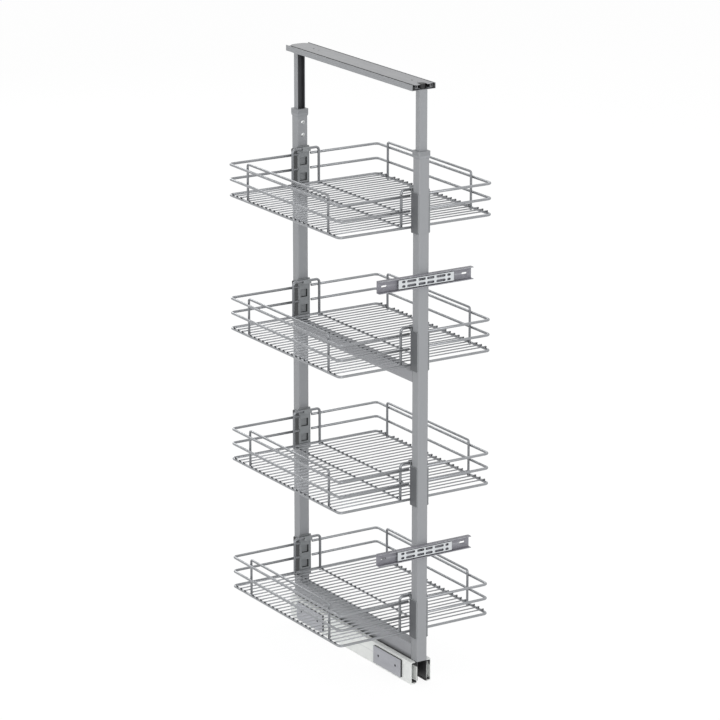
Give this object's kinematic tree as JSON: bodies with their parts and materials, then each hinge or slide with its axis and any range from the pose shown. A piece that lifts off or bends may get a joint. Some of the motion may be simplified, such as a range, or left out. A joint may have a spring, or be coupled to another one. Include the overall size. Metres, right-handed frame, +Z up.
{
  "type": "pull-out pantry frame",
  "caption": "Tall pull-out pantry frame on a full-extension ball runner, with chrome wire baskets hung on clips, a telescoping head with a top guide, and slotted front brackets.",
  "frame": {"origin": "centre of the floor channel's underside, on the cabinet floor", "axes": "+X across the width, -Y the way the frame pulls out, +Z up"},
  "size_m": [0.396, 0.5383, 1.3567],
  "materials": {
    "white_paint": "satin white",
    "plate_steel": "satin",
    "black_plastic": "matte",
    "zinc": "zinc plated",
    "ball_steel": "polished",
    "beam_paint": "silver grey",
    "tube_silver": "satin silver",
    "collar_plastic": "matte grey",
    "clip_plastic": "matte dark grey",
    "chrome_wire": "bright chrome"
  },
  "bodies": {
    "floor_runner": {"floor_channel": "white_paint", "front_plates": "plate_steel", "rear_plates": "plate_steel", "plate_pads": "black_plastic", "plate_screws": "black_plastic", "left_outer_rail": "zinc", "right_outer_rail": "zinc", "runner_bumpers": "black_plastic"},
    "outer_cages": {"outer_ball_cages": "zinc", "outer_balls": "ball_steel"},
    "middle_rails": {"left_middle_rail": "zinc", "right_middle_rail": "zinc"},
    "inner_cages": {"inner_ball_cages": "zinc", "inner_balls": "ball_steel"},
    "frame": {"left_inner_rail": "zinc", "right_inner_rail": "zinc", "bottom_beam": "beam_paint", "mid_beam": "beam_paint", "front_upright": "tube_silver", "rear_upright": "tube_silver", "front_collar": "collar_plastic", "rear_collar": "collar_plastic", "clamp_screws": "zinc", "clamp_nuts": "plate_steel", "front_clip_1": "clip_plastic", "front_clip_2": "clip_plastic", "front_clip_3": "clip_plastic", "front_clip_4": "clip_plastic", "rear_clip_1": "clip_plastic", "rear_clip_2": "clip_plastic", "rear_clip_3": "clip_plastic", "rear_clip_4": "clip_plastic", "upper_bracket": "beam_paint", "lower_bracket": "beam_paint", "bracket_screws": "zinc"},
    "head": {"front_extension": "tube_silver", "rear_extension": "tube_silver", "top_lower_rail": "tube_silver", "top_stop": "black_plastic"},
    "top_middle": {"top_middle_rail": "zinc", "top_glides": "black_plastic"},
    "ceiling": {"ceiling_rail": "plate_steel"},
    "upper_front": {"upper_adjuster": "zinc"},
    "lower_front": {"lower_adjuster": "zinc"},
    "basket_1": {"basket_1_ring": "chrome_wire", "basket_1_floor": "chrome_wire", "basket_1_rails": "chrome_wire", "basket_1_hoops": "chrome_wire"},
    "basket_2": {"basket_2_ring": "chrome_wire", "basket_2_floor": "chrome_wire", "basket_2_rails": "chrome_wire", "basket_2_hoops": "chrome_wire"},
    "basket_3": {"basket_3_ring": "chrome_wire", "basket_3_floor": "chrome_wire", "basket_3_rails": "chrome_wire", "basket_3_hoops": "chrome_wire"},
    "basket_4": {"basket_4_ring": "chrome_wire", "basket_4_floor": "chrome_wire", "basket_4_rails": "chrome_wire", "basket_4_hoops": "chrome_wire"}
  },
  "joints": [
    {"name": "pull_out", "type": "slide", "parent": "floor_runner", "child": "frame", "axis": [0, -1, 0], "range_m": [0, 0.45]},
    {"name": "outer_cage_roll", "type": "slide", "parent": "floor_runner", "child": "outer_cages", "axis": [0, -1, 0], "range_m": [0, 0.1125]},
    {"name": "middle_rail_slide", "type": "slide", "parent": "floor_runner", "child": "middle_rails", "axis": [0, -1, 0], "range_m": [0, 0.225]},
    {"name": "inner_cage_roll", "type": "slide", "parent": "floor_runner", "child": "inner_cages", "axis": [0, -1, 0], "range_m": [0, 0.3375]},
    {"name": "height_adjust", "type": "slide", "parent": "frame", "child": "head", "axis": [0, 0, 1], "range_m": [-0.12, 0.06]},
    {"name": "top_middle_slide", "type": "slide", "parent": "head", "child": "top_middle", "axis": [0, 1, 0], "range_m": [0, 0.225]},
    {"name": "ceiling_slide", "type": "slide", "parent": "top_middle", "child": "ceiling", "axis": [0, 1, 0], "range_m": [0, 0.225]},
    {"name": "upper_front_adjust", "type": "slide", "parent": "frame", "child": "upper_front", "axis": [1, 0, 0], "range_m": [-0.008, 0.008]},
    {"name": "lower_front_adjust", "type": "slide", "parent": "frame", "child": "lower_front", "axis": [1, 0, 0], "range_m": [-0.008, 0.008]},
    {"name": "basket_1_lift", "type": "slide", "parent": "frame", "child": "basket_1", "axis": [0, 0, 1], "range_m": [0, 0.02]},
    {"name": "basket_2_lift", "type": "slide", "parent": "frame", "child": "basket_2", "axis": [0, 0, 1], "range_m": [0, 0.02]},
    {"name": "basket_3_lift", "type": "slide", "parent": "frame", "child": "basket_3", "axis": [0, 0, 1], "range_m": [0, 0.02]},
    {"name": "basket_4_lift", "type": "slide", "parent": "frame", "child": "basket_4", "axis": [0, 0, 1], "range_m": [0, 0.02]}
  ],
  "couplings": [
    {"joint": "outer_cage_roll", "follows": "pull_out", "ratio": 0.25},
    {"joint": "middle_rail_slide", "follows": "pull_out", "ratio": 0.5},
    {"joint": "inner_cage_roll", "follows": "pull_out", "ratio": 0.75},
    {"joint": "top_middle_slide", "follows": "pull_out", "ratio": 0.5},
    {"joint": "ceiling_slide", "follows": "pull_out", "ratio": 0.5}
  ]
}
